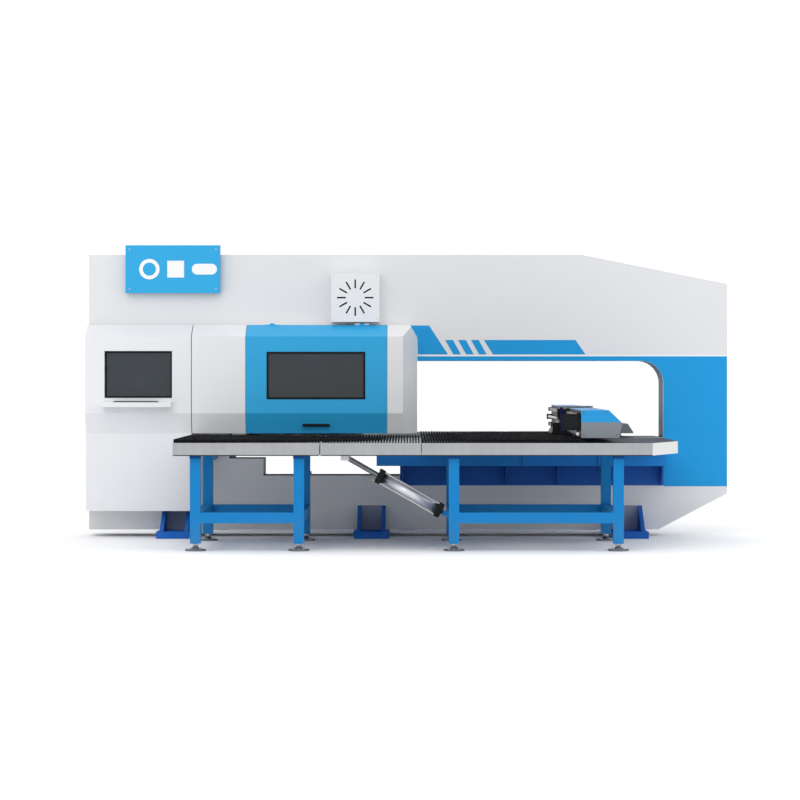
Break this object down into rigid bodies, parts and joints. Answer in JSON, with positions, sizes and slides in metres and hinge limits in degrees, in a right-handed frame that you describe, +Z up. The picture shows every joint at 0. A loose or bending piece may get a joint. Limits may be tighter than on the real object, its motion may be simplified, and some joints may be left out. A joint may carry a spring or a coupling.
{
  "type": "cnc turret punch press",
  "caption": "Servo turret punch press: closed O-shaped frame, hooded turret with lifting door, brush tables on both sides, and a feed beam with clamps that runs through the throat.",
  "frame": {"origin": "on the floor, under the middle of the whole machine and of the frame", "axes": "+X along the throat to its open end, +Y away from the operator along the feed beam, +Z up"},
  "size_m": [5.35, 5.2, 2.437],
  "materials": {
    "frame_paint": "satin",
    "liner_paint": "satin",
    "guard_paint": "satin",
    "door_paint": "satin",
    "shelf_paint": "satin",
    "bracket_paint": "satin",
    "leg_paint": "satin",
    "beam_paint": "satin",
    "bright_steel": "brushed",
    "dark_steel": "satin",
    "plate_steel": "knurled",
    "tool_steel": "ground",
    "cast_grey": "painted",
    "brush_black": "matte",
    "tinted_glass": "gloss",
    "screen_black": "gloss",
    "grip_black": "matte"
  },
  "bodies": {
    "machine": {"centre_table_tray": "dark_steel", "control_cabinet": "guard_paint", "control_screen": "screen_black", "drive_gearbox": "cast_grey", "frame_core": "liner_paint", "frame_front_plate": "frame_paint", "frame_rear_plate": "frame_paint", "front_anchor_brackets": "bracket_paint", "front_bands": "plate_steel", "front_guard": "guard_paint", "front_rail_shelf": "shelf_paint", "inner_brush_beds": "brush_black", "keyboard_shelf": "guard_paint", "left_brush_bed": "brush_black", "left_table_frame": "leg_paint", "left_table_tray": "guard_paint", "levelling_feet": "dark_steel", "lower_turret_shaft": "tool_steel", "main_motor": "dark_steel", "ram_guide": "cast_grey", "rear_anchor_brackets": "bracket_paint", "rear_guard": "guard_paint", "rear_rail_shelf": "shelf_paint", "rear_table_frame": "leg_paint", "rear_table_tray": "guard_paint", "right_brush_bed": "brush_black", "right_guard": "guard_paint", "right_table_frame": "leg_paint", "right_table_tray": "guard_paint", "sign_panel": "door_paint", "upper_turret_shaft": "tool_steel", "vent_box": "guard_paint", "x_rails": "bright_steel", "x_servo_motor": "dark_steel"},
    "beam": {"cross_beam": "beam_paint", "beam_cover": "beam_paint", "beam_end_covers": "beam_paint", "saddle": "cast_grey", "rail_blocks": "dark_steel", "y_rails": "bright_steel"},
    "carriage": {"carriage": "dark_steel", "clamp_bodies": "dark_steel"},
    "jaw_front": {"clamp_jaw_front": "tool_steel"},
    "jaw_rear": {"clamp_jaw_rear": "tool_steel"},
    "x_screw": {"x_ball_screw": "bright_steel"},
    "y_screw": {"y_ball_screw": "bright_steel"},
    "upper_turret": {"upper_turret": "tool_steel", "punch_set": "bright_steel"},
    "lower_turret": {"lower_turret": "tool_steel", "die_set": "bright_steel"},
    "working_punch": {"working_punch": "bright_steel"},
    "ram": {"ram": "bright_steel"},
    "door": {"front_door": "door_paint", "door_window": "tinted_glass", "door_handle": "grip_black"},
    "chute": {"chute_tray": "guard_paint", "chute_band": "plate_steel", "chute_brush_bed": "brush_black"},
    "cylinder_barrel": {"cylinder_barrel": "bright_steel"},
    "cylinder_rod": {"cylinder_rod": "bright_steel"}
  },
  "joints": [
    {"name": "beam_slide", "type": "slide", "parent": "machine", "child": "beam", "axis": [1, 0, 0], "range_m": [-1.04, 0.19]},
    {"name": "carriage_slide", "type": "slide", "parent": "beam", "child": "carriage", "axis": [0, 1, 0], "range_m": [-0.86, 1.64]},
    {"name": "jaw_front_hinge", "type": "hinge", "parent": "carriage", "child": "jaw_front", "pos_m": [1.229, -0.51, 0.906], "axis": [0, 1, 0], "range_deg": [-2, 8]},
    {"name": "jaw_rear_hinge", "type": "hinge", "parent": "carriage", "child": "jaw_rear", "pos_m": [1.229, -0.27, 0.906], "axis": [0, 1, 0], "range_deg": [-2, 8]},
    {"name": "x_screw_turn", "type": "hinge", "parent": "machine", "child": "x_screw", "pos_m": [1.1, 0.33, 0.719], "axis": [1, 0, 0], "continuous": true},
    {"name": "y_screw_turn", "type": "hinge", "parent": "beam", "child": "y_screw", "pos_m": [1.305, 0, 0.972], "axis": [0, 1, 0], "continuous": true},
    {"name": "upper_turret_turn", "type": "hinge", "parent": "machine", "child": "upper_turret", "pos_m": [-0.875, 0, 1], "axis": [0, 0, 1], "continuous": true},
    {"name": "lower_turret_turn", "type": "hinge", "parent": "machine", "child": "lower_turret", "pos_m": [-0.875, 0, 0.8], "axis": [0, 0, 1], "continuous": true},
    {"name": "ram_stroke", "type": "slide", "parent": "machine", "child": "ram", "axis": [0, 0, -1], "range_m": [0, 0.03]},
    {"name": "punch_stroke", "type": "slide", "parent": "upper_turret", "child": "working_punch", "axis": [0, 0, -1], "range_m": [0, 0.03]},
    {"name": "door_lift", "type": "hinge", "parent": "machine", "child": "door", "pos_m": [-0.759, -0.375, 1.777], "axis": [-1, 0, 0], "range_deg": [0, 55]},
    {"name": "chute_tilt", "type": "hinge", "parent": "machine", "child": "chute", "pos_m": [0.087, -1.6, 0.746], "axis": [0, -1, 0], "range_deg": [0, 20]},
    {"name": "cylinder_swing", "type": "hinge", "parent": "machine", "child": "cylinder_barrel", "pos_m": [0.284, -2.25, 0.278], "axis": [0, -1, 0], "range_deg": [-1, 13]},
    {"name": "rod_slide", "type": "slide", "parent": "cylinder_barrel", "child": "cylinder_rod", "axis": [-0.8684, 0, 0.4959], "range_m": [-0.13, 0.005]}
  ],
  "couplings": [
    {"joint": "x_screw_turn", "follows": "beam_slide", "rad_per_m": 157.08},
    {"joint": "y_screw_turn", "follows": "carriage_slide", "rad_per_m": 251.33},
    {"joint": "lower_turret_turn", "follows": "upper_turret_turn", "ratio": 1},
    {"joint": "punch_stroke", "follows": "ram_stroke", "ratio": 1},
    {"joint": "cylinder_swing", "follows": "chute_tilt", "ratio": 0.5549},
    {"joint": "rod_slide", "follows": "chute_tilt", "m_per_rad": -0.3455}
  ]
}
